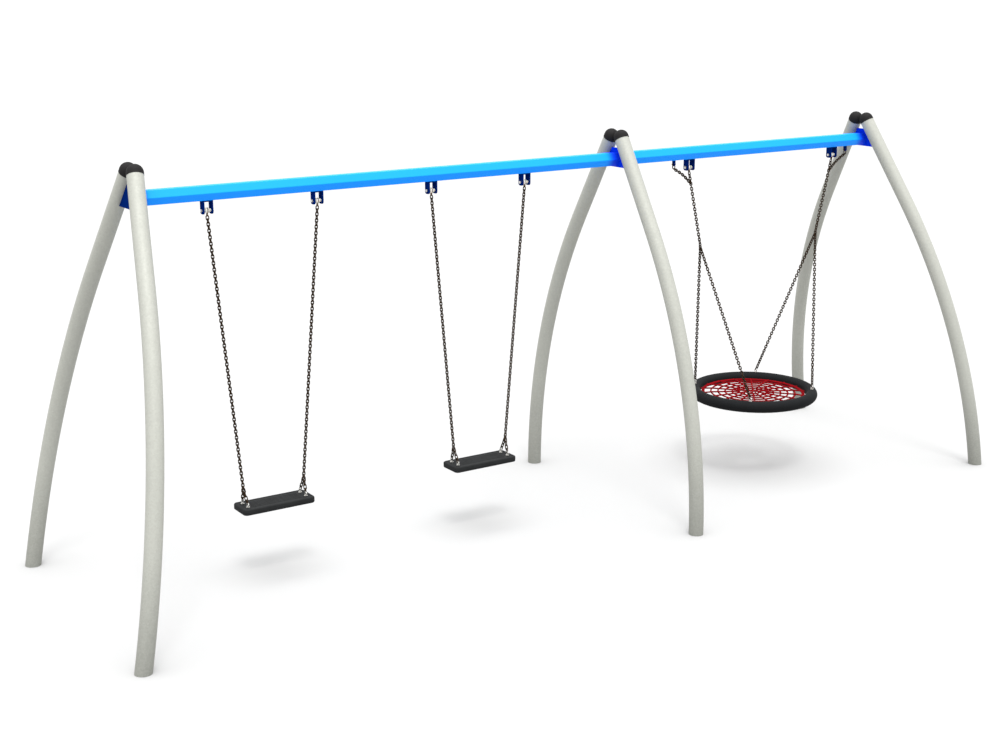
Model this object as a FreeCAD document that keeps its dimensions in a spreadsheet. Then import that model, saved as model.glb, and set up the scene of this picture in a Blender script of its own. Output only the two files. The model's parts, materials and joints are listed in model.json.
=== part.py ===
import FreeCAD, Part
import math
import os

# A free-standing swing set: three A-frames of bent round tube carry two bays of hexagonal
# beam. Two flat seats hang in the long bay and a round net basket in the short one.
# +X runs along the beam, +Y to the back, +Z up. The origin is on the ground, in the middle
# of the whole set's footprint.

V = FreeCAD.Vector
X_AXIS, Y_AXIS, Z_AXIS = V(1, 0, 0), V(0, 1, 0), V(0, 0, 1)

SIZES = {
    # A-frames
    "end_foot_x": (3442, "feet of an end frame from the middle of the set"),
    "middle_frame_x": (564, "place of the middle frame along the beam"),
    "end_tilt": (9.95, "degrees that an end frame leans in towards the beam"),
    "foot_spread": (980, "foot centre from the beam's line, seen along the beam"),
    "bend_radius": (3995, "long bend of a leg, seen along the beam"),
    "bend_angle": (30.8, "degrees a leg turns in its long bend"),
    "leg_top": (2650, "height of the centre of a leg's upper end"),
    "leg_dia": (101.6, "leg tube, outside"),
    "leg_wall": (3.6, "leg tube wall"),
    "foot_stub": (60, "tube drawn on below the ground, then cut off flat"),
    "cap_skirt": (18, "straight part of a cap, below its dome"),
    "cap_proud": (1.5, "cap stands proud of the tube all round"),
    "cap_plug": (35, "length of a cap's plug inside the tube"),
    # beam and head plates
    "beam_axis": (2494, "height of the beam's centre line"),
    "beam_flats": (90, "hexagonal beam across its flats"),
    "beam_wall": (5, "beam wall"),
    "beam_corner": (7, "radius of the beam's corners"),
    "plate_thick": (10, "head plate"),
    "plate_below": (56, "head plate below the beam's centre line"),
    "plate_above": (78, "head plate above the beam's centre line"),
    # hangers
    "pivot_height": (2388, "height of all the hanger bolts"),
    "ear_outer": (64, "over both ears of a hanger bracket"),
    "ear_gap": (48, "between the ears"),
    "ear_width": (52, "an ear, front to back"),
    "ear_below": (22, "ear below its bolt"),
    "ear_corner": (16, "rounding of an ear's lower corners"),
    "web_thick": (7, "web that joins the ears under the beam"),
    "bolt_dia": (12, "hanger bolt"),
    "bolt_play": (0.05, "radial play of a bearing on its bolt"),
    "bolt_head_flats": (18, "bolt head and nut across flats"),
    "bolt_head": (7.5, "bolt head height"),
    "bolt_tip": (3, "bolt beyond its nut"),
    "nut_height": (10, "lock nut height"),
    "ball_dia": (36, "plastic bearing ball"),
    "collar_dia": (20, "bearing collars and groove"),
    "ball_half": (16, "half width of the ball between its collars"),
    "end_play": (0.5, "gap between a bearing's end and the ear"),
    "groove_width": (7, "groove for the strap, round the ball"),
    "strap_thick": (6, "steel strap round the bearing"),
    "strap_head": (29, "diameter of the strap's head"),
    "strap_tail": (16, "width of the strap's tail"),
    "tail_hole": (30, "chain hole below the bolt"),
    "tail_hole_dia": (9, "chain hole"),
    "tail_end": (38, "end of the tail below the bolt"),
    # swings
    "swing_1_x": (-2153, "middle of the first flat swing"),
    "swing_2_x": (-584, "middle of the second flat swing"),
    "basket_x": (1956, "middle of the basket swing"),
    "swing_half": (369, "hanger from the middle of a flat swing"),
    "basket_half": (719, "hanger from the middle of the basket swing"),
    "chain_dia": (11.5, "plain rod with the mass of a 6 mm short-link chain"),
    "seat_split": (617, "height where a seat's chain divides"),
    "basket_split": (1800, "height where a basket chain divides"),
    "chain_start": (12, "rod starts this far beyond the strap's hole"),
    "chain_end": (10, "rod stops this far above where the chain divides"),
    "branch_start": (34, "branch rod starts this far below there"),
    "branch_end": (20, "branch rod stops this far above its eye"),
    "joiner_ring": (11, "mean radius of a connecting ring"),
    "joiner_drop": (9, "ring's centre below where the chain divides"),
    "ring_wire": (7, "wire of the connecting rings and eyes"),
    # flat seat
    "seat_top": (488, "top of a flat seat"),
    "seat_thick": (40, "flat seat"),
    "seat_length": (500, "flat seat along the beam"),
    "seat_width": (190, "flat seat, front to back"),
    "seat_corner": (30, "rounding of the seat's outline"),
    "seat_edge": (9, "rounding of the seat's edges"),
    "core_thick": (6, "metal core of a seat"),
    "core_length": (455, "metal core along the beam"),
    "core_width": (130, "metal core, front to back"),
    "eye_x": (203.4, "seat eye from the seat's middle, along the beam"),
    "eye_y": (41.4, "seat eye from the seat's middle, front to back"),
    "eye_ring": (11, "mean radius of an eye"),
    "eye_lift": (15, "eye centre above the surface it stands on"),
    "eye_stem": (10, "stem of an eye"),
    "washer_dia": (24, "washer under an eye"),
    "washer_thick": (2.5, "washer under an eye"),
    # basket
    "rim_radius": (451, "basket rim, to the middle of its section"),
    "rim_dia": (87.4, "basket rim section"),
    "rim_height": (589.5, "middle of the rim's section above ground"),
    "rim_core_dia": (34, "steel tube ring inside the rim"),
    "rim_core_wall": (3, "wall of that tube"),
    "net_radius": (406, "net inside the rim"),
    "net_thick": (20, "two crossing ropes"),
    "stem_gap": (2, "basket eye's stem stops this far inside the tube ring's wall"),
    # safety chains of the basket
    "lug_out": (145, "safety lug outside its hanger, along the beam"),
    "lug_thick": (8, "safety lug"),
    "lug_width": (30, "safety lug, front to back"),
    "lug_drop": (29, "lug hole below the beam"),
    "lug_play": (0.5, "radial play of the shackle's pin in the lug"),
    "lug_cover": (7, "shackle's legs stop this far above its pin"),
    "bow_radius": (11, "bow of the lug's shackle"),
    "safety_join": (120, "safety chain meets the main chain below the bolt"),
    "safety_sag": (9, "slack of the safety chain"),
    "safety_trim": (15, "its rod stops this far from the hook and from the main chain"),
}

CUT = 10            # a cutting tool reaches this far past what it cuts
FAR = 1200          # edge of a block that cuts off everything on one side

doc = FreeCAD.newDocument("swing_set")
sheet = doc.addObject("Spreadsheet::Sheet", "Sizes")
for row, (alias, (value, note)) in enumerate(SIZES.items(), start=1):
    sheet.set("A%d" % row, alias)
    sheet.set("B%d" % row, str(value))
    sheet.set("C%d" % row, note)
    sheet.setAlias("B%d" % row, alias)
doc.recompute()

parts = []


def size(alias):
    """A driving dimension, read back from the sheet."""
    return float(sheet.get(alias))


def keep(obj, label):
    """Make an object a sub-part that is written to its own file."""
    obj.Label = label
    parts.append(obj)
    return obj


def bind(obj, **formulas):
    """Tie properties of an object to the sheet."""
    for name, formula in formulas.items():
        obj.setExpression(name, formula)
    return obj


def primitive(kind, name, place=None, **formulas):
    obj = doc.addObject("Part::" + kind, name)
    bind(obj, **formulas)
    if place is not None:
        obj.Placement = place
    return obj


def boolean(kind, name, base, tool):
    obj = doc.addObject("Part::" + kind, name)
    obj.Base = base
    obj.Tool = tool
    return obj


def shaped(label, shape):
    """A sub-part whose shape is worked out in code."""
    obj = doc.addObject("Part::Feature", label)
    obj.Shape = shape
    return keep(obj, label)


def shift(x=0.0, y=0.0, z=0.0):
    return FreeCAD.Placement(V(x, y, z), FreeCAD.Rotation())


def rod(start, end, dia):
    return Part.makeCylinder(dia / 2, (end - start).Length, start, end - start)


def moved(shape, place):
    copy = shape.copy()
    copy.Placement = place.multiply(copy.Placement)
    return copy


def one_solid(shape):
    """Merge what a boolean leaves into a single clean solid."""
    merged = shape.removeSplitter()
    return merged.Solids[0] if len(merged.Solids) == 1 else merged


# ---------------------------------------------------------------- A-frames

class Frame:
    """Plane of one A-frame: local y is front to back, local height runs up the lean."""

    def __init__(self, name, foot_x, lean):
        self.name = name
        self.foot_x = foot_x
        self.lean = lean
        slope = math.cos(math.radians(lean))
        seen = math.radians(size("bend_angle"))
        self.angle = math.atan(math.tan(seen) * slope)
        self.radius = size("bend_radius") * math.sin(seen) / (slope * math.sin(self.angle))
        self.top = size("leg_top") / slope
        self.bend_end = self.radius * math.sin(self.angle)
        spread_left = size("foot_spread") - self.radius * (1 - math.cos(self.angle))
        self.top_y = spread_left - math.tan(self.angle) * (self.top - self.bend_end)
        turn = FreeCAD.Rotation(Y_AXIS, lean)
        self.place = FreeCAD.Placement(V(foot_x, 0, 0), turn)

    def leg_point(self, side, height):
        """A point on the straight upper part of a leg's centre line."""
        out = math.tan(self.angle) * (self.top - height)
        return V(0, side * (self.top_y + out), height)

    def leg_direction(self, side):
        return V(0, -side * math.sin(self.angle), math.cos(self.angle))


FRAMES = [
    Frame("left", -size("end_foot_x"), size("end_tilt")),
    Frame("middle", size("middle_frame_x"), 0.0),
    Frame("right", size("end_foot_x"), -size("end_tilt")),
]
SIDES = [("front", -1), ("back", 1)]


def leg_shape(frame, side):
    """Bent tube: upright at the ground, one long bend, then straight up to its cap."""
    spread = size("foot_spread")
    stub = size("foot_stub")
    below = V(0, side * spread, -stub)
    foot = V(0, side * spread, 0)
    centre_y = spread - frame.radius

    def on_bend(angle):
        y = centre_y + frame.radius * math.cos(angle)
        return V(0, side * y, frame.radius * math.sin(angle))

    bend_end = on_bend(frame.angle)
    tip = frame.leg_point(side, frame.top) - frame.leg_direction(side) * size("cap_skirt")
    path = Part.Wire([
        Part.makeLine(below, foot),
        Part.Arc(foot, on_bend(frame.angle / 2), bend_end).toShape(),
        Part.makeLine(bend_end, tip),
    ])
    outer_radius = size("leg_dia") / 2
    tubes = []
    for radius in (outer_radius, outer_radius - size("leg_wall")):
        section = Part.Wire(Part.makeCircle(radius, below, Z_AXIS))
        tubes.append(path.makePipeShell([section], True, False))
    tube = moved(tubes[0].cut(tubes[1]), frame.place)
    ground = Part.makeBox(2 * FAR, 2 * FAR, 2 * stub, V(frame.foot_x - FAR, -FAR, -2 * stub))
    return one_solid(tube.cut(ground))


def leg_cap(frame, side, side_name):
    """Domed cap that covers the tube's end, with a plug that fits inside it."""
    name = "cap_%s_%s" % (frame.name, side_name)
    cover = "Sizes.leg_dia / 2 + Sizes.cap_proud"
    dome = primitive("Sphere", name + "_dome", Radius=cover)
    dome.Angle1 = 0
    skirt = primitive("Cylinder", name + "_skirt", shift(z=-size("cap_skirt")),
                      Radius=cover, Height="Sizes.cap_skirt")
    plug = primitive(
        "Cylinder", name + "_plug", shift(z=-size("cap_skirt") - size("cap_plug")),
        Radius="Sizes.leg_dia / 2 - Sizes.leg_wall", Height="Sizes.cap_plug")
    cap = boolean("Fuse", name, boolean("Fuse", name + "_cover", dome, skirt), plug)
    tip = frame.leg_point(side, frame.top)
    turn = FreeCAD.Rotation(Z_AXIS, frame.leg_direction(side))
    cap.Placement = frame.place.multiply(FreeCAD.Placement(tip, turn))
    return keep(cap, name)


for frame in FRAMES:
    for side_name, side in SIDES:
        shaped("leg_%s_%s" % (frame.name, side_name), leg_shape(frame, side))
        leg_cap(frame, side, side_name)


# ---------------------------------------------------------------- head plates and beams

def head_plate(frame):
    """Plate between the two legs, its sides hollowed to sit against the tubes."""
    lean = math.cos(math.radians(frame.lean))
    low = (size("beam_axis") - size("plate_below")) / lean
    high = (size("beam_axis") + size("plate_above")) / lean
    thick = size("plate_thick")
    corners = [frame.leg_point(side, height)
               for side, height in ((-1, low), (1, low), (1, high), (-1, high))]
    outline = Part.makePolygon(corners + corners[:1])
    plate = Part.Face(outline).extrude(V(thick, 0, 0))
    plate.translate(V(-thick / 2, 0, 0))
    for side in (-1, 1):
        start = frame.leg_point(side, low - size("leg_dia"))
        end = frame.leg_point(side, high + size("leg_dia"))
        plate = plate.cut(rod(start, end, size("leg_dia")))
    return moved(one_solid(plate), frame.place)


for frame in FRAMES:
    shaped("head_plate_" + frame.name, head_plate(frame))


def beam_trim(frame, towards):
    """Box that takes away everything beyond the head plate's face on one side."""
    block = Part.makeBox(FAR, FAR, FAR, V(0, -FAR / 2, -FAR / 2))
    if towards > 0:
        block.translate(V(-FAR, 0, 0))
    face = towards * size("plate_thick") / 2
    lean = math.cos(math.radians(frame.lean))
    centre = V(face, 0, size("beam_axis") / lean)
    return moved(block, frame.place.multiply(FreeCAD.Placement(centre, FreeCAD.Rotation())))


def beam(label, left, right, length_formula):
    """Hexagonal tube, flats up and down, its ends cut to the two head plates."""
    length = right.foot_x - left.foot_x
    along = FreeCAD.Rotation(Y_AXIS, 90).multiply(FreeCAD.Rotation(Z_AXIS, 30))
    place = FreeCAD.Placement(V(left.foot_x, 0, size("beam_axis")), along)
    hexagons = []
    for suffix, flats in (("_outer", "Sizes.beam_flats"),
                          ("_inner", "(Sizes.beam_flats - 2 * Sizes.beam_wall)")):
        prism = primitive("Prism", label + suffix, place, Circumradius=flats + " / sqrt(3)",
                          Height=length_formula)
        prism.Polygon = 6
        hexagons.append(prism)
    doc.recompute()
    outer, inner = [prism.Shape for prism in hexagons]
    corners = [edge for edge in outer.Edges if edge.Length > length / 2]
    tube = outer.makeFillet(size("beam_corner"), corners).cut(inner)
    for frame, towards in ((left, 1), (right, -1)):
        tube = tube.cut(beam_trim(frame, towards))
    return shaped(label, one_solid(tube))


beam("beam_long", FRAMES[0], FRAMES[1], "Sizes.end_foot_x + Sizes.middle_frame_x")
beam("beam_short", FRAMES[1], FRAMES[2], "Sizes.end_foot_x - Sizes.middle_frame_x")


# ---------------------------------------------------------------- hangers

HANGERS = []
for name, centre, half in (("swing_1", "swing_1_x", "swing_half"),
                           ("swing_2", "swing_2_x", "swing_half"),
                           ("basket", "basket_x", "basket_half")):
    for hand, way in (("left", -1), ("right", 1)):
        HANGERS.append((name, hand, way, size(centre) + way * size(half)))

BEAM_BOTTOM = size("beam_axis") - size("beam_flats") / 2
PIVOT = size("pivot_height")


def plane_of(body, role):
    return next(plane for plane in body.Origin.OriginFeatures if plane.Role == role)


def sketch_on(body, role, name):
    sketch = body.newObject("Sketcher::SketchObject", name)
    sketch.AttachmentSupport = [(plane_of(body, role), "")]
    sketch.MapMode = "FlatFace"
    return sketch


def sketch_outline(sketch, points):
    count = len(points)
    for index in range(count):
        ends = (V(*points[index], 0), V(*points[(index + 1) % count], 0))
        sketch.addGeometry(Part.LineSegment(*ends), False)


def hanger_bracket(label, x):
    """Clevis under the beam: a block padded along the beam, with a slot for the bearing."""
    body = doc.addObject("PartDesign::Body", label)
    half_width = size("ear_width") / 2
    top = BEAM_BOTTOM - PIVOT
    bottom = -size("ear_below")
    ears = sketch_on(body, "YZ_Plane", label + "_ears")
    sketch_outline(ears, [(-half_width, bottom), (half_width, bottom),
                          (half_width, top), (-half_width, top)])
    ears.addGeometry(Part.Circle(V(0, 0, 0), Z_AXIS, size("bolt_dia") / 2), False)
    block = body.newObject("PartDesign::Pad", label + "_block")
    block.Profile = ears
    block.Midplane = True
    block.setExpression("Length", "Sizes.ear_outer")
    slot = sketch_on(body, "XZ_Plane", label + "_slot")
    half_gap = size("ear_gap") / 2
    slot_top = top - size("web_thick")
    sketch_outline(slot, [(-half_gap, bottom - CUT), (half_gap, bottom - CUT),
                          (half_gap, slot_top), (-half_gap, slot_top)])
    pocket = body.newObject("PartDesign::Pocket", label + "_gap")
    pocket.Profile = slot
    pocket.Midplane = True
    pocket.setExpression("Length", "2 * Sizes.ear_width")
    doc.recompute()
    corners = ["Edge%d" % (index + 1) for index, edge in enumerate(pocket.Shape.Edges)
               if abs(edge.CenterOfMass.z - bottom) < 0.01
               and abs(abs(edge.CenterOfMass.y) - half_width) < 0.01]
    rounding = body.newObject("PartDesign::Fillet", label + "_corners")
    rounding.Base = (pocket, corners)
    rounding.setExpression("Radius", "Sizes.ear_corner")
    body.Tip = rounding
    body.Placement = shift(x, 0, PIVOT)
    return keep(body, label)


def hexagon_block(flats, start, height):
    radius = flats / math.sqrt(3)
    corners = [start + V(0, radius * math.cos(math.pi * k / 3), radius * math.sin(math.pi * k / 3))
               for k in range(6)]
    return Part.Face(Part.makePolygon(corners + corners[:1])).extrude(V(height, 0, 0))


def hanger_bolt(x):
    """Bolt along the beam, head outside one ear and thread out of the other."""
    half = size("ear_outer") / 2
    start = V(x - half - size("bolt_head"), 0, PIVOT)
    end = V(x + half + size("nut_height") + size("bolt_tip"), 0, PIVOT)
    head = hexagon_block(size("bolt_head_flats"), start, size("bolt_head"))
    return one_solid(head.fuse(rod(start, end, size("bolt_dia"))))


def hanger_nut(x):
    start = V(x + size("ear_outer") / 2, 0, PIVOT)
    nut = hexagon_block(size("bolt_head_flats"), start, size("nut_height"))
    end = start + X_AXIS * (size("nut_height") + CUT)
    return nut.cut(rod(start - X_AXIS * CUT, end, size("bolt_dia")))


for name, hand, way, x in HANGERS:
    hanger_bracket("bracket_%s_%s" % (name, hand), x)
shaped("hanger_bolts", Part.makeCompound([hanger_bolt(hanger[3]) for hanger in HANGERS]))
shaped("hanger_nuts", Part.makeCompound([hanger_nut(hanger[3]) for hanger in HANGERS]))


def bearing(x):
    """Plastic ball on the bolt, with a groove for the strap and a collar each side."""
    half_ball = size("ball_half")
    half_all = size("ear_gap") / 2 - size("end_play")
    centre = V(x, 0, PIVOT)

    def slice_of(dia, half):
        return Part.makeCylinder(dia / 2, 2 * half, centre - X_AXIS * half, X_AXIS)

    ball = Part.makeSphere(size("ball_dia") / 2, centre)
    ball = ball.common(slice_of(size("ball_dia") + CUT, half_ball))
    ball = ball.cut(slice_of(size("ball_dia") + CUT, size("groove_width") / 2))
    bush = ball.fuse(slice_of(size("collar_dia"), half_all))
    bore = size("bolt_dia") + 2 * size("bolt_play")
    return one_solid(bush.cut(slice_of(bore, half_all + CUT)))


def hinge_strap(x):
    """Steel strap round the bearing, with a tail that takes the chain."""
    half = size("strap_thick") / 2
    centre = V(x - half, 0, PIVOT)
    thick = size("strap_thick")
    head = Part.makeCylinder(size("strap_head") / 2, thick, centre, X_AXIS)
    tail_half = size("strap_tail") / 2
    tail_mid = size("tail_end") - tail_half
    tail = Part.makeBox(thick, 2 * tail_half, tail_mid, centre + V(0, -tail_half, -tail_mid))
    tip = Part.makeCylinder(tail_half, thick, centre - Z_AXIS * tail_mid, X_AXIS)
    seat = Part.makeCylinder(size("collar_dia") / 2 + size("bolt_play"), thick, centre, X_AXIS)
    hole = Part.makeCylinder(size("tail_hole_dia") / 2, thick,
                             centre - Z_AXIS * size("tail_hole"), X_AXIS)
    return one_solid(head.fuse([tail, tip]).cut(seat.fuse(hole)))


# ---------------------------------------------------------------- chains

CHAIN = size("chain_dia")
RING = size("joiner_ring")
WIRE = size("ring_wire")


class Hanging:
    """Lines of one swing: a chain from each strap, divided in two down to the eyes."""

    def __init__(self, centre, half, split, eye_x, eye_y, eye_z):
        self.centre = centre
        self.half = half
        self.split_z = split
        self.eye = (eye_x, eye_y, eye_z)

    def top(self, way):
        return V(self.centre + way * self.half, 0, PIVOT - size("tail_hole"))

    def split(self, way):
        top = self.top(way)
        eye_x, _, eye_z = self.eye
        share = (top.z - self.split_z) / (top.z - eye_z)
        return V(top.x - way * share * (self.half - eye_x), 0, self.split_z)

    def eye_point(self, way, side):
        eye_x, eye_y, eye_z = self.eye
        return V(self.centre + way * eye_x, side * eye_y, eye_z)

    def main_chain(self, way):
        along = (self.split(way) - self.top(way)).normalize()
        return rod(self.top(way) + along * size("chain_start"),
                   self.split(way) - along * size("chain_end"), CHAIN)

    def branch(self, way, side):
        start, end = self.split(way), self.eye_point(way, side)
        along = (end - start).normalize()
        return rod(start + along * size("branch_start"), end - along * size("branch_end"), CHAIN)

    def branches(self, way):
        return Part.makeCompound([self.branch(way, side) for side in (-1, 1)])

    def joiner(self, way):
        centre = self.split(way) - Z_AXIS * size("joiner_drop")
        return Part.makeTorus(RING, WIRE / 2, centre, X_AXIS)


def eye_bolt(centre, surface_z, stem_end):
    """Ring on a stem, with a washer on the surface it goes into."""
    ring = Part.makeTorus(size("eye_ring"), WIRE / 2, centre, X_AXIS)
    stem_top = centre.z - size("eye_ring")
    foot = V(centre.x, centre.y, stem_end)
    stem = rod(foot, V(centre.x, centre.y, stem_top), size("eye_stem"))
    washer = Part.makeCylinder(size("washer_dia") / 2, size("washer_thick"),
                               V(centre.x, centre.y, surface_z))
    return one_solid(ring.fuse([stem, washer]))


def eye_stems(hanging, low, high):
    stems = [rod(V(eye.x, eye.y, low), V(eye.x, eye.y, high), size("eye_stem"))
             for eye in (hanging.eye_point(way, side) for way in (-1, 1) for side in (-1, 1))]
    return Part.makeCompound(stems)


def pair_of(label, make, hanging):
    shapes = [make(hanging.centre + way * hanging.half) for way in (-1, 1)]
    shaped(label, Part.makeCompound(shapes))


def hang_gear(name, hanging, lower):
    """Everything above the eyes: bearings, straps, chains and connecting rings."""
    pair_of(name + "_bearings", bearing, hanging)
    pair_of(name + "_straps", hinge_strap, hanging)
    for hand, way in (("left", -1), ("right", 1)):
        shaped("%s_chain_%s" % (name, hand), hanging.main_chain(way))
        shaped("%s_branches_%s" % (lower, hand), hanging.branches(way))
    rings = [hanging.joiner(way) for way in (-1, 1)]
    shaped(lower + "_joiners", Part.makeCompound(rings))


# ---------------------------------------------------------------- flat seats

def flat_seat(number):
    """Moulded slab on a metal core, hung by four eye bolts."""
    label = "seat_%d" % number
    centre = size("swing_%d_x" % number)
    top = size("seat_top")
    eye_z = top + size("eye_lift")
    hanging = Hanging(centre, size("swing_half"), size("seat_split"),
                      size("eye_x"), size("eye_y"), eye_z)
    hang_gear("swing_%d" % number, hanging, label)
    bottom = top - size("seat_thick")
    core_low = bottom + (size("seat_thick") - size("core_thick")) / 2

    slab = primitive("Box", label + "_slab", Length="Sizes.seat_length",
                     Width="Sizes.seat_width", Height="Sizes.seat_thick")
    slab.Placement = shift(centre - size("seat_length") / 2, -size("seat_width") / 2, bottom)
    plate = primitive("Box", label + "_plate", Length="Sizes.core_length",
                      Width="Sizes.core_width", Height="Sizes.core_thick")
    plate.Placement = shift(centre - size("core_length") / 2, -size("core_width") / 2, core_low)
    doc.recompute()
    upright = [edge for edge in slab.Shape.Edges
               if abs(edge.Length - size("seat_thick")) < 0.01]
    pad = slab.Shape.makeFillet(size("seat_corner"), upright)
    rims = [edge for face in pad.Faces if abs(face.normalAt(0, 0).z) > 0.99
            for edge in face.OuterWire.Edges]
    pad = pad.makeFillet(size("seat_edge"), rims)
    stems = eye_stems(hanging, core_low, eye_z)
    shaped(label + "_pad", one_solid(pad.cut(plate.Shape).cut(stems)))
    shaped(label + "_core", one_solid(plate.Shape.cut(stems)))
    eyes = [eye_bolt(hanging.eye_point(way, side), top, core_low)
            for way in (-1, 1) for side in (-1, 1)]
    shaped(label + "_eyes", Part.makeCompound(eyes))


flat_seat(1)
flat_seat(2)


# ---------------------------------------------------------------- basket

def basket():
    """Padded steel ring with a net across it, hung by four eye bolts."""
    centre = V(size("basket_x"), 0, size("rim_height"))
    rim_top = centre.z + size("rim_dia") / 2
    corner = size("rim_radius") / math.sqrt(2)
    hanging = Hanging(centre.x, size("basket_half"), size("basket_split"),
                      corner, corner, rim_top + size("eye_lift"))
    hang_gear("basket", hanging, "basket")
    core_radius = size("rim_core_dia") / 2
    hollow_radius = core_radius - size("rim_core_wall")
    rim, core, hollow = [Part.makeTorus(size("rim_radius"), radius, centre)
                         for radius in (size("rim_dia") / 2, core_radius, hollow_radius)]
    stem_end = centre.z + hollow_radius - size("stem_gap")
    stems = eye_stems(hanging, stem_end, rim_top + size("eye_lift"))
    shaped("basket_rim", rim.cut(core).cut(stems))
    shaped("basket_core", core.cut(hollow).cut(stems))
    net = primitive("Cylinder", "net_disc", Radius="Sizes.net_radius", Height="Sizes.net_thick")
    net.Placement = shift(centre.x, 0, centre.z - size("net_thick") / 2)
    keep(net, "basket_net")
    eyes = [eye_bolt(hanging.eye_point(way, side), rim_top, stem_end)
            for way in (-1, 1) for side in (-1, 1)]
    shaped("basket_eyes", Part.makeCompound(eyes))
    return hanging


basket_lines = basket()


# ---------------------------------------------------------------- safety chains

LUG_HOLE = BEAM_BOTTOM - size("lug_drop")


def safety_lug(x):
    """Small plate under the beam, with a hole along the beam."""
    thick, width = size("lug_thick"), size("lug_width")
    low = V(x - thick / 2, 0, LUG_HOLE)
    plate = Part.makeBox(thick, width, size("lug_drop"), low - Y_AXIS * (width / 2))
    tip = Part.makeCylinder(width / 2, thick, low, X_AXIS)
    hole = Part.makeCylinder(WIRE / 2 + size("lug_play"), thick, low, X_AXIS)
    return one_solid(plate.fuse(tip).cut(hole))


def safety_shackle(x):
    """Bow whose lowest wire lies on the hanger bolts' line, so the chain turns about it."""
    bow = size("bow_radius")
    centre = V(x, 0, PIVOT + bow)
    ring = Part.makeTorus(bow, WIRE / 2, centre, Y_AXIS)
    lower = Part.makeBox(4 * bow, 4 * bow, 4 * bow, centre - V(2 * bow, 2 * bow, 4 * bow))
    leg_top = LUG_HOLE + size("lug_cover")
    legs = [rod(centre + X_AXIS * (side * bow), V(x + side * bow, 0, leg_top), WIRE)
            for side in (-1, 1)]
    reach = bow + WIRE
    pin = rod(V(x - reach, 0, LUG_HOLE), V(x + reach, 0, LUG_HOLE), WIRE)
    return one_solid(ring.common(lower).fuse(legs + [pin]))


def safety_chain(way):
    """Slack chain from the shackle to the main chain, as one gently bent rod."""
    hook = V(basket_lines.top(way).x + way * size("lug_out"), 0, PIVOT)
    main_top, main_split = basket_lines.top(way), basket_lines.split(way)
    share = (size("safety_join") - size("tail_hole")) / (main_top.z - main_split.z)
    join = main_top + (main_split - main_top) * share
    along = (join - hook).normalize()
    start = hook + along * size("safety_trim")
    end = join - along * size("safety_trim")
    down = V(along.z, 0, -along.x) * way
    middle = (start + end) * 0.5 + down * size("safety_sag")
    path = Part.Arc(start, middle, end)
    section = Part.Wire(Part.makeCircle(CHAIN / 2, start, path.tangent(path.FirstParameter)[0]))
    return Part.Wire(path.toShape()).makePipeShell([section], True, False)


LUG_PLACES = [basket_lines.top(way).x + way * size("lug_out") for way in (-1, 1)]
shaped("safety_lugs", Part.makeCompound([safety_lug(x) for x in LUG_PLACES]))
shaped("safety_shackles", Part.makeCompound([safety_shackle(x) for x in LUG_PLACES]))
shaped("safety_chain_left", safety_chain(-1))
shaped("safety_chain_right", safety_chain(1))


# ---------------------------------------------------------------- check and write

doc.recompute()
for obj in doc.Objects:
    if "Invalid" in obj.State or "Error" in obj.State:
        raise RuntimeError("failed: " + obj.Label)
for obj in parts:
    if obj.Shape.isNull() or not obj.Shape.isValid():
        raise RuntimeError("bad shape: " + obj.Label)

os.makedirs("parts", exist_ok=True)
for obj in parts:
    obj.Shape.exportStep("parts/%s.step" % obj.Label)
    print("%-24s %2d solid(s) %9.0f mm3" % (obj.Label, len(obj.Shape.Solids), obj.Shape.Volume))
print(len(parts), "sub-parts")
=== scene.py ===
import json
import math

import bpy
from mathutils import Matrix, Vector


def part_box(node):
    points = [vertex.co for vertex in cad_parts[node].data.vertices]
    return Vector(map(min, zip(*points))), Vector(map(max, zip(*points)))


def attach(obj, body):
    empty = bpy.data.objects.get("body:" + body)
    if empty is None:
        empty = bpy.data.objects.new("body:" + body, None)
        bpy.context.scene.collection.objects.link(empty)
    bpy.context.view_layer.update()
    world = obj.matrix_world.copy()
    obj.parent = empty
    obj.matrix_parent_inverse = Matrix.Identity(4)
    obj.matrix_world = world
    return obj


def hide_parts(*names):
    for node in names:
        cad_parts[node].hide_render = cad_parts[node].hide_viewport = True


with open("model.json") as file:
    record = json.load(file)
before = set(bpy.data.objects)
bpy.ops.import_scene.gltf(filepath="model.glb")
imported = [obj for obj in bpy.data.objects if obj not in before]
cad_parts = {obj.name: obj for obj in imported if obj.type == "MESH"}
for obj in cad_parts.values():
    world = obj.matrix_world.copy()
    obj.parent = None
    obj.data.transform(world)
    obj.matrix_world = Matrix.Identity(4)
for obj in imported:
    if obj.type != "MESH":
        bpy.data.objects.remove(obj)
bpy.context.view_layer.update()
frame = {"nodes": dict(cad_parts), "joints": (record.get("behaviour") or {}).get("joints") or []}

# A swing set on a pale studio floor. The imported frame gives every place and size: legs, caps,
# beams, plates, brackets, bolts, bearings, straps and eyes stay as they are and get their
# finishes. Chains, connecting rings, the rope net and the moulded seats are made here.

NODES = frame["nodes"]
PIVOTS = {joint["name"]: Vector(joint["pos_m"]) for joint in frame["joints"]}
HANDS = (("left", -1), ("right", 1))
X_AXIS, Y_AXIS = Vector((1, 0, 0)), Vector((0, 1, 0))
MM = 0.001


# ---------------------------------------------------------------- camera

CAMERA_PLACE = Vector((-6.2172, -8.7442, 3.8))
CAMERA_TURN = math.radians(33.57)
CAMERA_DIP = math.radians(14.61)
CAMERA_LENS = 56.385     # mm
CAMERA_SENSOR = 36       # mm, its width


def make_camera():
    data = bpy.data.cameras.new("camera")
    data.lens = CAMERA_LENS
    data.sensor_width = CAMERA_SENSOR
    camera = bpy.data.objects.new("camera", data)
    camera.location = CAMERA_PLACE
    camera.rotation_euler = (math.pi / 2 - CAMERA_DIP, 0, -CAMERA_TURN)
    bpy.context.scene.collection.objects.link(camera)
    bpy.context.scene.camera = camera


# ---------------------------------------------------------------- nodes and materials

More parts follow.
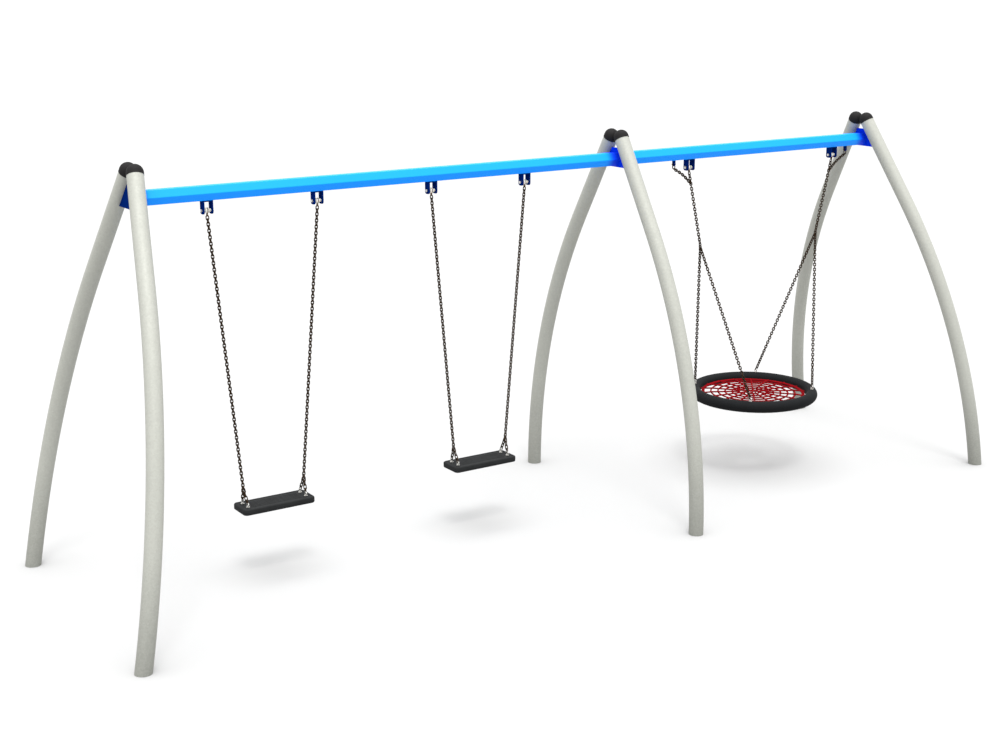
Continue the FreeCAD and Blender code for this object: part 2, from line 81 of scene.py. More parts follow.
def middle(node):
    low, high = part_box(node)
    return (low + high) / 2


def linear(colour):
    """sRGB hex such as "#2a6fd0" as linear red, green, blue and alpha."""
    shares = [int(colour[place:place + 2], 16) / 255 for place in (1, 3, 5)]
    return [s / 12.92 if s <= 0.04045 else ((s + 0.055) / 1.055) ** 2.4 for s in shares] + [1]


def across(size_mm):
    """The Scale that makes a pattern's features about size_mm across."""
    return 1 / (size_mm * MM)


def connect(tree, node, sockets):
    """Gives each input of a node a value or a link. A node as the value stands for its first
    open output."""
    for socket, value in sockets.items():
        if isinstance(value, bpy.types.Node):
            value = next(output for output in value.outputs if output.enabled)
        if isinstance(value, bpy.types.NodeSocket):
            tree.links.new(value, node.inputs[socket])
        else:
            node.inputs[socket].default_value = value


def add(tree, kind, sockets=None, **settings):
    """Adds a node with its settings, its inputs' values and its links."""
    made = tree.nodes.new(kind)
    for name, value in settings.items():
        setattr(made, name, value)
    connect(tree, made, sockets or {})
    return made


def finish(name, sockets):
    """A new material: its tree, its shader with the given sockets set, and Object coordinates."""
    made = bpy.data.materials.new(name)
    made.use_nodes = True
    tree = made.node_tree
    shader = tree.nodes["Principled BSDF"]
    connect(tree, shader, sockets)
    place = add(tree, "ShaderNodeTexCoord").outputs["Object"]
    return made, tree, shader, place


PAINTED_SHADE_HEIGHT = 0.7        # metres; below this height a leg's colour darkens towards the ground, painted shade


def galvanised_steel():
    """Hot-dip galvanised tube: matt warm grey zinc with a fine mottle of spangle crystals. Its
    colour darkens towards the ground: painted shade, where less light reaches the lower leg."""
    made, tree, shader, place = finish("galvanised_steel", {
        "Metallic": 0.15, "Specular IOR Level": 0.2})
    spangle = add(tree, "ShaderNodeTexVoronoi", {"Vector": place, "Scale": across(9)})
    crystal = add(tree, "ShaderNodeSeparateColor", {"Color": spangle.outputs["Color"]})
    cloud = add(tree, "ShaderNodeTexNoise", {
        "Vector": place, "Scale": across(120), "Detail": 4})
    mottle = add(tree, "ShaderNodeMix", {"Factor": 0.35, "A": crystal, "B": cloud})
    height = add(tree, "ShaderNodeSeparateXYZ", {0: place}).outputs["Z"]
    # painted shade: 0 at the ground, 1 from this height up, so the leg's colour darkens downwards
    above_painted_shade = add(tree, "ShaderNodeMapRange", {"Value": height, "From Max": PAINTED_SHADE_HEIGHT})
    shade = add(tree, "ShaderNodeMix", {"Factor": 0.3, "A": above_painted_shade, "B": mottle})
    connect(tree, shader, {
        "Base Color": add(tree, "ShaderNodeMix", {
            "Factor": shade, "A": linear("#7d7e78"), "B": linear("#a0a19a")}, data_type="RGBA"),
        "Roughness": add(tree, "ShaderNodeMapRange", {
            "Value": crystal.outputs["Green"], "To Min": 0.5, "To Max": 0.7}),
        "Normal": add(tree, "ShaderNodeBump", {
            "Height": cloud, "Distance": 0.3 * MM, "Strength": 0.3})})
    return made


HEAD_PLATES = ("head_plate_left", "head_plate_middle", "head_plate_right")
PAINTED_SHADE_FULL_WITHIN = 40 * MM    # from a head plate's middle along a beam, where the painted shade is full deep blue
PAINTED_SHADE_GONE_BEYOND = 120 * MM
FAR_AWAY = 10.0          # metres, further than any plate is from any point


def powder_coat():
    """Smooth satin blue powder coat with a faint orange-peel skin. Beside the middle of each head
    plate it goes over to deep blue: painted shade where the beam meets the plates and legs."""
    made, tree, shader, place = finish("blue_powder_coat", {
        "Metallic": 0.0, "Roughness": 0.45, "IOR": 1.5, "Specular IOR Level": 0.12})
    along = add(tree, "ShaderNodeSeparateXYZ", {0: place}).outputs["X"]
    nearest = FAR_AWAY
    for node in HEAD_PLATES:
        offset = add(tree, "ShaderNodeMath", {0: along, 1: middle(node).x}, operation="SUBTRACT")
        away = add(tree, "ShaderNodeMath", {0: offset}, operation="ABSOLUTE")
        nearest = add(tree, "ShaderNodeMath", {0: away, 1: nearest}, operation="MINIMUM")
    # painted shade: deep blue beside each head plate, fading out along the beam
    joint = add(tree, "ShaderNodeMapRange", {
        "Value": nearest, "From Min": PAINTED_SHADE_FULL_WITHIN, "From Max": PAINTED_SHADE_GONE_BEYOND,
        "To Min": 1.0, "To Max": 0.0}, interpolation_type="SMOOTHSTEP")
    peel = add(tree, "ShaderNodeTexNoise", {"Vector": place, "Scale": across(3), "Detail": 2})
    connect(tree, shader, {
        "Base Color": add(tree, "ShaderNodeMix", {
            "Factor": joint, "A": linear("#0d8af7"), "B": linear("#0638d8")}, data_type="RGBA"),
        "Normal": add(tree, "ShaderNodeBump", {
            "Height": peel, "Distance": 0.06 * MM, "Strength": 0.3})})
    return made


def deep_coat(name, low, high):
    """The same powder coat in a deeper blue, for plates and brackets. Its darker navy copy is
    painted shade.
    """
    made, tree, shader, place = finish(name, {
        "Metallic": 0.0, "Roughness": 0.5, "IOR": 1.5, "Specular IOR Level": 0.0})
    tone = add(tree, "ShaderNodeTexNoise", {"Vector": place, "Scale": across(40), "Detail": 3})
    peel = add(tree, "ShaderNodeTexNoise", {"Vector": place, "Scale": across(3), "Detail": 2})
    connect(tree, shader, {
        "Base Color": add(tree, "ShaderNodeMix", {
            "Factor": tone, "A": linear(low), "B": linear(high)}, data_type="RGBA"),
        "Normal": add(tree, "ShaderNodeBump", {
            "Height": peel, "Distance": 0.06 * MM, "Strength": 0.3})})
    return made


def black_plastic():
    """Moulded black polyethylene cap, matt from the spark-eroded grain of its mould. The real
    grain is too fine to show, so it is drawn coarser."""
    made, tree, shader, place = finish("black_polyethylene", {
        "Metallic": 0.0, "IOR": 1.5, "Specular IOR Level": 0.1})
    grain = add(tree, "ShaderNodeTexNoise", {
        "Vector": place, "Scale": across(2.5), "Detail": 4, "Roughness": 0.6})
    connect(tree, shader, {
        "Base Color": add(tree, "ShaderNodeMix", {
            "Factor": grain, "A": linear("#161515"), "B": linear("#201f1f")}, data_type="RGBA"),
        "Roughness": add(tree, "ShaderNodeMapRange", {
            "Value": grain, "To Min": 0.6, "To Max": 0.8}),
        "Normal": add(tree, "ShaderNodeBump", {
            "Height": grain, "Distance": 0.15 * MM, "Strength": 0.5})})
    return made


def black_rubber(name, low, high, grain_mm):
    """Moulded EPDM rubber: matt, with a dry grain and paler scuffs. The grain is drawn coarser
    than the real one, so that it shows."""
    made, tree, shader, place = finish(name, {
        "Metallic": 0.0, "IOR": 1.5, "Specular IOR Level": 0.1})
    grain = add(tree, "ShaderNodeTexNoise", {
        "Vector": place, "Scale": across(grain_mm), "Detail": 4, "Roughness": 0.65})
    scuff = add(tree, "ShaderNodeTexNoise", {
        "Vector": place, "Scale": across(60), "Detail": 5, "Roughness": 0.6})
    share = add(tree, "ShaderNodeMath", {0: grain, 1: scuff}, operation="MULTIPLY")
    connect(tree, shader, {
        "Base Color": add(tree, "ShaderNodeMix", {
            "Factor": share, "A": linear(low), "B": linear(high)}, data_type="RGBA"),
        "Roughness": add(tree, "ShaderNodeMapRange", {
            "Value": scuff, "To Min": 0.7, "To Max": 0.9}),
        "Normal": add(tree, "ShaderNodeBump", {
            "Height": grain, "Distance": 0.25 * MM, "Strength": 0.5})})
    return made


def worn_steel(name, low, high, low_rough, high_rough):
    """Zinc-plated steel that rubbing has darkened: patches of dull oxide on brighter metal."""
    made, tree, shader, place = finish(name, {"Metallic": 1.0})
    wear = add(tree, "ShaderNodeTexNoise", {
        "Vector": place, "Scale": across(8), "Detail": 4, "Roughness": 0.6})
    pits = add(tree, "ShaderNodeTexNoise", {"Vector": place, "Scale": across(2), "Detail": 3})
    connect(tree, shader, {
        "Base Color": add(tree, "ShaderNodeMix", {
            "Factor": wear, "A": linear(low), "B": linear(high)}, data_type="RGBA"),
        "Roughness": add(tree, "ShaderNodeMapRange", {
            "Value": wear, "To Min": low_rough, "To Max": high_rough}),
        "Normal": add(tree, "ShaderNodeBump", {
            "Height": pits, "Distance": 0.1 * MM, "Strength": 0.3})})
    return made


def nylon():
    """Cast nylon bearing: waxy off-white, slightly see-through at its skin."""
    made, tree, shader, place = finish("cast_nylon", {
        "Metallic": 0.0, "Roughness": 0.35, "IOR": 1.53, "Subsurface Weight": 0.15,
        "Subsurface Scale": 4 * MM})
    tone = add(tree, "ShaderNodeTexNoise", {"Vector": place, "Scale": across(12), "Detail": 3})
    connect(tree, shader, {
        "Base Color": add(tree, "ShaderNodeMix", {
            "Factor": tone, "A": linear("#cfcdc2"), "B": linear("#dedcd2")}, data_type="RGBA"),
        "Normal": add(tree, "ShaderNodeBump", {
            "Height": tone, "Distance": 0.05 * MM, "Strength": 0.3})})
    return made


def polyester_rope():
    """Laid red polyester over a steel core: soft and matt, with a fibrous surface. Real fibres
    are too fine to show, so they are drawn coarser."""
    made, tree, shader, place = finish("red_polyester_rope", {
        "Metallic": 0.0, "Roughness": 0.8, "IOR": 1.5, "Specular IOR Level": 0.06})
    fibre = add(tree, "ShaderNodeTexNoise", {
        "Vector": place, "Scale": across(1.5), "Detail": 3, "Roughness": 0.7})
    fade = add(tree, "ShaderNodeTexNoise", {
        "Vector": place, "Scale": across(90), "Detail": 4, "Roughness": 0.6})
    share = add(tree, "ShaderNodeMath", {0: fibre, 1: fade}, operation="MULTIPLY")
    connect(tree, shader, {
        "Base Color": add(tree, "ShaderNodeMix", {
            "Factor": share, "A": linear("#540006"), "B": linear("#9c020c")}, data_type="RGBA"),
        "Normal": add(tree, "ShaderNodeBump", {
            "Height": fibre, "Distance": 0.4 * MM, "Strength": 0.6})})
    return made


def floor_paint():
    """Matt pale studio floor, nearly even in tone."""
    made, tree, shader, place = finish("studio_floor", {
        "Metallic": 0.0, "Roughness": 1.0, "Specular IOR Level": 0.0})
    tone = add(tree, "ShaderNodeTexNoise", {
        "Vector": place, "Scale": across(2500), "Detail": 2})
    connect(tree, shader, {"Base Color": add(tree, "ShaderNodeMix", {
        "Factor": tone, "A": linear("#a0a0a0"), "B": linear("#a2a2a2")}, data_type="RGBA")})
    return made


GALVANISED = galvanised_steel()
POWDER_COAT = powder_coat()
# painted shade: a darker navy copy of the plate coat, for the left head plate, the brackets and the
# lugs
NAVY_PAINTED_SHADE_COAT = deep_coat("navy_powder_coat_painted_shade", "#02164e", "#032062")
ROYAL_COAT = deep_coat("royal_blue_powder_coat", "#0429c2", "#0636dc")
CAP_PLASTIC = black_plastic()
SEAT_RUBBER = black_rubber("moulded_seat_rubber", "#121313", "#343536", 2.0)
RIM_RUBBER = black_rubber("rim_sleeve_rubber", "#0a0b0c", "#1e2022", 4.0)
CHAIN_STEEL = worn_steel("dull_galvanised_chain", "#100a06", "#453627", 0.22, 0.45)
STRAP_STEEL = worn_steel("worn_strap_steel", "#3b2c20", "#6b5745", 0.35, 0.6)
BOLT_STEEL = worn_steel("bright_zinc_fastener", "#b4b3ae", "#dddcd8", 0.3, 0.5)
NYLON = nylon()
RED_ROPE = polyester_rope()

FINISHES = (
    # the navy coat on the left head plate, the brackets and the lugs is painted shade
    ("leg_", GALVANISED), ("cap_", CAP_PLASTIC), ("head_plate_left", NAVY_PAINTED_SHADE_COAT),
    ("head_plate_middle", ROYAL_COAT), ("head_plate_right", ROYAL_COAT),
    ("beam_", POWDER_COAT), ("bracket_", NAVY_PAINTED_SHADE_COAT), ("safety_lugs", NAVY_PAINTED_SHADE_COAT),
    ("hanger_", BOLT_STEEL), ("safety_shackles", CHAIN_STEEL), ("_bearings", NYLON),
    ("_straps", STRAP_STEEL), ("_eyes", BOLT_STEEL), ("_core", BOLT_STEEL),
    ("basket_rim", RIM_RUBBER),
)


def dress_frame():
    """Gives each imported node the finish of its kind."""
    for name, node in NODES.items():
        for key, finish_of_kind in FINISHES:
            if key in name:
                node.data.materials.clear()
                node.data.materials.append(finish_of_kind)


# ---------------------------------------------------------------- making pieces

SMOOTH_ANGLE = math.radians(40)
BAR_STEPS = 12           # sides of a round bar


def piece_from(mesh, name, material=None):
    piece = bpy.data.objects.new(name, mesh)
    if material is not None:
        mesh.materials.append(material)
    bpy.context.scene.collection.objects.link(piece)
    return piece


def mesh_of(name, points, edges=(), faces=()):
    mesh = bpy.data.meshes.new(name)
    mesh.from_pydata([tuple(point) for point in points], edges, faces)
    mesh.update()
    return mesh


def smooth(piece):
    """Smooth shading, with sharp edges where the faces turn by more than SMOOTH_ANGLE."""
    piece.data.polygons.foreach_set("use_smooth", [True] * len(piece.data.polygons))
    piece.data.set_sharp_from_angle(angle=SMOOTH_ANGLE)


def joined(name, pieces):
    """One piece from several meshes that belong together."""
    with bpy.context.temp_override(active_object=pieces[0], selected_editable_objects=pieces):
        bpy.ops.object.join()
    pieces[0].name = name
    return pieces[0]


def settle(piece, body, node):
    """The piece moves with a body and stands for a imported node."""
    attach(piece, body)
    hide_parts(node)


def new_tree(name, inputs):
    """A Geometry Nodes tree with named inputs for its sizes."""
    tree = bpy.data.node_groups.new(name, "GeometryNodeTree")
    tree.interface.new_socket("Path", in_out="INPUT", socket_type="NodeSocketGeometry")
    for label, kind in inputs:
        tree.interface.new_socket(label, in_out="INPUT", socket_type="NodeSocket" + kind)
    tree.interface.new_socket("Piece", in_out="OUTPUT", socket_type="NodeSocketGeometry")
    return tree, add(tree, "NodeGroupInput").outputs


def close_tree(tree, geometry, material):
    """Ends a tree: instances made real, shading smoothed and the material set."""
    real = add(tree, "GeometryNodeRealizeInstances", {"Geometry": geometry})
    soft = add(tree, "GeometryNodeSetShadeSmooth", {"Geometry": real})
    dressed = add(tree, "GeometryNodeSetMaterial", {"Geometry": soft, "Material": material})
    add(tree, "NodeGroupOutput", {0: dressed})


def grown(name, paths, tree, **values):
    """Runs a tree along open or closed paths and keeps the result as a plain mesh."""
    points, edges = [], []
    for path, closed in paths:
        first = len(points)
        points += path
        edges += [(first + k, first + k + 1) for k in range(len(path) - 1)]
        if closed:
            edges.append((len(points) - 1, first))
    source = piece_from(mesh_of(name + "_path", points, edges), name + "_path")
    modifier = source.modifiers.new("grow", "NODES")
    modifier.node_group = tree
    for socket in tree.interface.items_tree:
        if socket.in_out == "INPUT" and socket.name in values:
            modifier[socket.identifier] = values[socket.name]
    source.update_tag()
    bpy.context.view_layer.update()
    graph = bpy.context.evaluated_depsgraph_get()
    mesh = bpy.data.meshes.new_from_object(source.evaluated_get(graph))
    source.modifiers.remove(modifier)
    bpy.data.objects.remove(source)
    return piece_from(mesh, name)


def bar_tree():
    """Round bars along a path: the first one moved by First, each next one by Step more."""
    tree, given = new_tree("round_bars", (
        ("Count", "Int"), ("First", "Vector"), ("Step", "Vector"), ("Radius", "Float"),
        ("Material", "Material")))
    line = add(tree, "GeometryNodeMeshToCurve", {"Mesh": given["Path"]})
    section = add(tree, "GeometryNodeCurvePrimitiveCircle", {
        "Resolution": BAR_STEPS, "Radius": given["Radius"]})
    bar = add(tree, "GeometryNodeCurveToMesh", {
        "Curve": line, "Profile Curve": section, "Fill Caps": True})
    rows = add(tree, "GeometryNodeMeshLine", {
        "Count": given["Count"], "Start Location": given["First"], "Offset": given["Step"]})
    bars = add(tree, "GeometryNodeInstanceOnPoints", {"Points": rows, "Instance": bar})
    close_tree(tree, bars, given["Material"])
    return tree


BAR_TREE = bar_tree()


# ---------------------------------------------------------------- chains

WIRE = 7.5 * MM          # wire of a link
PITCH = 20 * MM          # inner length of a link
LINK_WIDTH = 25 * MM     # outer width of a link
LINK_HALF = (PITCH + WIRE) / 2             # from a link's centre to its end, along its wire's middle
LINK_BEND = (LINK_WIDTH - WIRE) / 2        # radius of its round ends, along its wire's middle
LINK_STEPS = 14          # twice an odd number, so that no point lies on a link's middle line
WIRE_STEPS = 8
TWIST_END = 0.25         # share of the chain's length from a hook to where all the twist is done
BASKET_TWIST = 45        # degrees, so that both kinds of link show their opening from the front


def chain_tree():
    """Welded links along a path, each turned a quarter from the one before. Between its
    hooks the chain also twists a little, by the angle Twist."""
    tree, given = new_tree("short_link_chain", (
        ("Links", "Int"), ("Bend", "Float"), ("Straight", "Float"), ("Wire Radius", "Float"),
        ("Side", "Vector"), ("Twist", "Float"), ("Material", "Material")))
    circle = add(tree, "GeometryNodeCurvePrimitiveCircle", {
        "Resolution": LINK_STEPS, "Radius": given["Bend"]})
    place = add(tree, "GeometryNodeInputPosition")
    along_link = add(tree, "ShaderNodeSeparateXYZ", {0: place}).outputs["X"]
    way = add(tree, "ShaderNodeMath", {0: along_link}, operation="SIGN")
    apart = add(tree, "ShaderNodeMath", {0: way, 1: given["Straight"]}, operation="MULTIPLY")
    shift = add(tree, "ShaderNodeCombineXYZ", {"X": apart})
    oval = add(tree, "GeometryNodeSetPosition", {"Geometry": circle, "Offset": shift})
    wire = add(tree, "GeometryNodeCurvePrimitiveCircle", {
        "Resolution": WIRE_STEPS, "Radius": given["Wire Radius"]})
    link = add(tree, "GeometryNodeCurveToMesh", {"Curve": oval, "Profile Curve": wire})

    line = add(tree, "GeometryNodeMeshToCurve", {"Mesh": given["Path"]})
    spots = add(tree, "GeometryNodeCurveToPoints", {"Curve": line, "Count": given["Links"]},
                mode="COUNT")
    along = add(tree, "FunctionNodeAlignRotationToVector", {"Vector": spots.outputs["Tangent"]},
                axis="X")
    level = add(tree, "FunctionNodeAlignRotationToVector", {
        "Rotation": along, "Vector": given["Side"]}, axis="Y", pivot_axis="X")

    index = add(tree, "GeometryNodeInputIndex")
    last = add(tree, "ShaderNodeMath", {0: given["Links"], 1: 1.0}, operation="SUBTRACT")
    share = add(tree, "ShaderNodeMath", {0: index, 1: last}, operation="DIVIDE")
    from_hook = add(tree, "ShaderNodeMath", {0: share, 1: 0.5}, operation="PINGPONG")
    twist = add(tree, "ShaderNodeMapRange", {
        "Value": from_hook, "From Max": TWIST_END, "To Max": given["Twist"]},
        interpolation_type="SMOOTHSTEP")
    quarter = add(tree, "ShaderNodeMath", {0: index, 1: math.pi / 2}, operation="MULTIPLY")
    angle = add(tree, "ShaderNodeMath", {0: quarter, 1: twist}, operation="ADD")
    roll = add(tree, "FunctionNodeAxisAngleToRotation", {"Axis": X_AXIS, "Angle": angle})
    turned = add(tree, "FunctionNodeRotateRotation", {"Rotation": level, "Rotate By": roll},
                 rotation_space="LOCAL")
    links = add(tree, "GeometryNodeInstanceOnPoints", {
        "Points": spots, "Instance": link, "Rotation": turned})
    close_tree(tree, links, given["Material"])
    return tree


CHAIN_TREE = chain_tree()


def chain(name, path, turned_end=False, side=X_AXIS, twist=0):
    """Links from the first centre to the last. An even or odd count suits what the last
    link hooks on: turned_end says that it lies a quarter turn from the first one. The pitch
    is stretched or squeezed to fit, and twist is in degrees."""
    length = sum((path[k + 1] - path[k]).length for k in range(len(path) - 1))
    steps = round(length / PITCH)
    if steps % 2 != int(turned_end):
        steps += 1 if length / PITCH > steps else -1
    straight = (length / steps + WIRE) / 2 - LINK_BEND
    return grown(name, [(path, False)], CHAIN_TREE, **{
        "Links": steps + 1, "Bend": LINK_BEND, "Straight": straight, "Wire Radius": WIRE / 2,
        "Side": side, "Twist": math.radians(twist), "Material": CHAIN_STEEL})


STRAP_HOLE = 8 * MM      # hole above the strap's lower end
HOLE_SLACK = 1.5 * MM    # the top link's wire lies this far below the hole's middle
RING_WIRE = 7 * MM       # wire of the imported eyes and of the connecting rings
RING_RADIUS = 12 * MM    # wide enough for a ring to rock on the last link of its chain
RING_STEPS = 28
RING_DROP = 5.5 * MM     # that link's lower wire lies this far below the axis of rocking
EYE_RADIUS = 11 * MM     # mean radius of a packed eye
HOOK_OVER = RING_WIRE / 2 + WIRE / 2       # link wire and ring wire, centre to centre
SAFETY_JOIN = 90 * MM    # the safety chain meets the main chain this far below the strap's hole
SAFETY_SAG = 9 * MM
SAFETY_STEPS = 12        # straight stretches in its slack curve
SAME_CORNER = 6          # corners that agree to this many decimals of a metre are one


def solids_of(node):
    """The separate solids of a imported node, as the lowest and highest corner of each."""
    mesh = NODES[node].data
    group = list(range(len(mesh.vertices)))

    def root(item):
        while group[item] != item:
            group[item] = group[group[item]]
            item = group[item]
        return item

    spots = {}
    for vertex in mesh.vertices:
        key = tuple(round(share, SAME_CORNER) for share in vertex.co)
        group[root(vertex.index)] = root(spots.setdefault(key, vertex.index))
    for polygon in mesh.polygons:
        first = root(polygon.vertices[0])
        for index in polygon.vertices[1:]:
            group[root(index)] = first
    boxes = {}
    for vertex in mesh.vertices:
        low, high = boxes.setdefault(root(vertex.index), (vertex.co.copy(), vertex.co.copy()))
        for axis in range(3):
            low[axis] = min(low[axis], vertex.co[axis])
            high[axis] = max(high[axis], vertex.co[axis])
    return list(boxes.values())


def left_to_right(node):
    return sorted(solids_of(node), key=lambda corners: corners[0].x)


def centre_of(corners):
    return (corners[0] + corners[1]) / 2


def connecting_rings(lower, centres):
    """The rings in which the chains divide, standing across the beam."""
    turns = [2 * math.pi * k / RING_STEPS for k in range(RING_STEPS)]
    paths = []
    for centre in centres:
        paths.append(([centre + Vector((0, math.cos(a), math.sin(a))) * RING_RADIUS
                       for a in turns], True))
    rings = grown(lower + "_rings", paths, BAR_TREE, Count=1, Radius=RING_WIRE / 2,
                  Material=CHAIN_STEEL)
    settle(rings, lower, lower + "_joiners")


def hang_chains(swing, upper_body, lower, turned_eyes, twist):
    """Main chain and two branches on each hand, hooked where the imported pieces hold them."""
    straps = left_to_right(swing + "_straps")
    ring_centres = [centre_of(ring) for ring in left_to_right(lower + "_joiners")]
    eyes = solids_of(lower + "_eyes")
    midway = middle(lower + "_joiners").x
    connecting_rings(lower, ring_centres)
    for (hand, way), strap, ring_centre in zip(HANDS, straps, ring_centres):
        hole = Vector((centre_of(strap).x, 0, strap[0].z + STRAP_HOLE))
        axis = Vector((ring_centre.x, 0, PIVOTS[lower + "_tilt"].z))
        along = (axis - hole).normalized()
        main = chain("%s_links_%s" % (swing, hand),
                     [hole + along * (LINK_HALF + HOLE_SLACK),
                      axis + along * (RING_DROP - LINK_HALF)], twist=twist)
        settle(main, upper_body, "%s_chain_%s" % (swing, hand))
        branches = []
        for eye in eyes:
            centre = centre_of(eye)
            if (centre.x - midway) * way < 0:
                continue
            eye_centre = Vector((centre.x, centre.y, eye[1].z - RING_WIRE / 2 - EYE_RADIUS))
            along = (eye_centre - ring_centre).normalized()
            start = ring_centre + along * (RING_RADIUS - HOOK_OVER + LINK_HALF)
            end = eye_centre - along * (EYE_RADIUS - HOOK_OVER + LINK_HALF)
            branches.append(chain("branch", [start, end], turned_end=turned_eyes, twist=twist))
        pair = joined("%s_branch_links_%s" % (lower, hand), branches)
        settle(pair, lower, "%s_branches_%s" % (lower, hand))


def safety_chains():
    """Slack chain from each lug's shackle to a link of the basket's main chain."""
    bows = left_to_right("safety_shackles")
    straps = left_to_right("basket_straps")
    rings = left_to_right("basket_joiners")
    for (hand, way), bow, strap, ring in zip(HANDS, bows, straps, rings):
        hook = Vector((centre_of(bow).x, 0, bow[0].z + RING_WIRE / 2))
        hole = Vector((centre_of(strap).x, 0, strap[0].z + STRAP_HOLE))
        ring_top = Vector((centre_of(ring).x, 0, ring[1].z - RING_WIRE / 2))
        join = hole + (ring_top - hole) * (SAFETY_JOIN / (hole.z - ring_top.z))
        along = (join - hook).normalized()
        start = hook + along * (LINK_HALF - HOOK_OVER)
        end = join - along * LINK_HALF
        down = Vector((along.z, 0, -along.x)) * way
        path = []
        for k in range(SAFETY_STEPS + 1):
            share = k / SAFETY_STEPS
            path.append(start.lerp(end, share) + down * (SAFETY_SAG * math.sin(math.pi * share)))
        piece = chain("safety_links_" + hand, path, side=Y_AXIS)
        settle(piece, "basket_swing", "safety_chain_" + hand)


# ---------------------------------------------------------------- rope net

ROPE = 13 * MM
ROPE_LAY = 60 * MM       # length in which a strand goes once round the rope
ROPE_STEP = 5 * MM       # from one section of the rope's mesh to the next
STRANDS = 6
STRAND_GROOVE = 0.16     # depth of the groove between two strands, as a share of the radius
NET_SPOKES = 18
NET_EYE = 50 * MM        # radius of the innermost ring
NET_GAP = 55 * MM        # from one ring to the next
NET_RING_COUNT = 7
NET_RINGS = [NET_EYE + NET_GAP * k for k in range(NET_RING_COUNT)]
NET_RING_STEP = 12 * MM  # length of each straight stretch in a ring
RIM_GRIP = 4 * MM        # the spokes run on this far into the rim's rubber
LAST_RING_IN = 18 * MM   # the outermost ring lies this far inside the spokes' ends
SPOKE_TAIL = 4 * MM      # a spoke runs on this far past the ring it starts from


def rope_tree():
    """Laid rope along a path: a lobed section that turns as it goes."""
    tree, given = new_tree("laid_rope", (
        ("Radius", "Float"), ("Lay", "Float"), ("Step", "Float"), ("Material", "Material")))
    line = add(tree, "GeometryNodeMeshToCurve", {"Mesh": given["Path"]})
    even = add(tree, "GeometryNodeResampleCurve", {"Curve": line, "Length": given["Step"]},
               mode="LENGTH")
    run = add(tree, "GeometryNodeSplineParameter").outputs["Length"]
    turns = add(tree, "ShaderNodeMath", {0: run, 1: given["Lay"]}, operation="DIVIDE")
    angle = add(tree, "ShaderNodeMath", {0: turns, 1: 2 * math.pi}, operation="MULTIPLY")
    laid = add(tree, "GeometryNodeSetCurveTilt", {"Curve": even, "Tilt": angle})

    section = add(tree, "GeometryNodeCurvePrimitiveCircle", {
        "Resolution": 2 * STRANDS, "Radius": given["Radius"]})
    index = add(tree, "GeometryNodeInputIndex")
    odd = add(tree, "ShaderNodeMath", {0: index, 1: 2.0}, operation="MODULO")
    pinch = add(tree, "ShaderNodeMapRange", {
        "Value": odd, "To Min": 1.0, "To Max": 1.0 - STRAND_GROOVE})
    place = add(tree, "GeometryNodeInputPosition")
    lobed = add(tree, "ShaderNodeVectorMath", {0: place, "Scale": pinch}, operation="SCALE")
    strands = add(tree, "GeometryNodeSetPosition", {"Geometry": section, "Position": lobed})

    rope = add(tree, "GeometryNodeCurveToMesh", {
        "Curve": laid, "Profile Curve": strands, "Fill Caps": True})
    close_tree(tree, rope, given["Material"])
    return tree


def on_circle(centre, radius, angle, lift=0.0):
    return centre + Vector((radius * math.cos(angle), radius * math.sin(angle), lift))


def rope_net():
    """Concentric ropes with spokes across them, which dip to the rim past the last but one."""
    low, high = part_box("basket_net")
    centre = (low + high) / 2
    reach = (high.x - low.x) / 2 + RIM_GRIP
    lift = (high.z - low.z - ROPE) / 2
    paths = []
    for radius in NET_RINGS + [reach - LAST_RING_IN]:
        count = round(2 * math.pi * radius / NET_RING_STEP)
        ring = [on_circle(centre, radius, 2 * math.pi * k / count, -lift) for k in range(count)]
        paths.append((ring, True))
    for k in range(NET_SPOKES):
        angle = 2 * math.pi * (k + 0.5) / NET_SPOKES
        start = NET_RINGS[1] if k % 2 else NET_RINGS[0]
        paths.append(([on_circle(centre, start - SPOKE_TAIL, angle, lift),
                       on_circle(centre, NET_RINGS[-2], angle, lift),
                       on_circle(centre, reach, angle, -lift)], False))
    for angle in (math.pi / 4, math.pi * 3 / 4):       # two ropes cross in the innermost ring
        paths.append(([on_circle(centre, -NET_EYE, angle, lift),
                       on_circle(centre, NET_EYE, angle, lift)], False))
    net = grown("basket_net_ropes", paths, rope_tree(), Radius=ROPE / 2, Lay=ROPE_LAY,
                Step=ROPE_STEP, Material=RED_ROPE)
    settle(net, "basket", "basket_net")


# ---------------------------------------------------------------- seats

SEAT_EDGE = 9 * MM       # rounding of the edge, above and below
EDGE_STEPS = 6
SEAT_CORNER = 30 * MM
LEAST_CORNER = 6 * MM
CORNER_STEPS = 8
HOLLOW_EDGE = 26 * MM    # a shallow hollow under the seat starts this far in
HOLLOW_SLOPE = 8 * MM
HOLLOW_DEPTH = 1.5 * MM
PARTING_HALF = 1.2 * MM  # half the height of the raised line that the mould leaves
PARTING_RAISE = 0.5 * MM
PANEL_DROP = 2.5 * MM    # the ribs stand on a panel this far below the seat's border
BORDER = 17 * MM
# How far in from the border, and how far down, each point of the slope to the panel lies.
PANEL_SLOPE = ((0.0, 0.0), (1.5 * MM, 0.4 * MM), (4 * MM, PANEL_DROP), (7 * MM, PANEL_DROP))
RIB_COUNT = 5
RIB_SPACING = 22 * MM
RIB_WIDTH = 9 * MM
RIB_END = 78 * MM        # from the seat's end to the end of its ribs


def rounded_outline(half_x, half_y, radius, height):
    """Rounded rectangle, anticlockwise from above."""
    points = []
    for corner in range(4):
        sign_x = 1 if corner in (0, 3) else -1
        sign_y = 1 if corner in (0, 1) else -1
        for k in range(CORNER_STEPS + 1):
            angle = math.pi / 2 * (corner + k / CORNER_STEPS)
            points.append(Vector((sign_x * (half_x - radius) + radius * math.cos(angle),
                                  sign_y * (half_y - radius) + radius * math.sin(angle),
                                  height)))
    return points


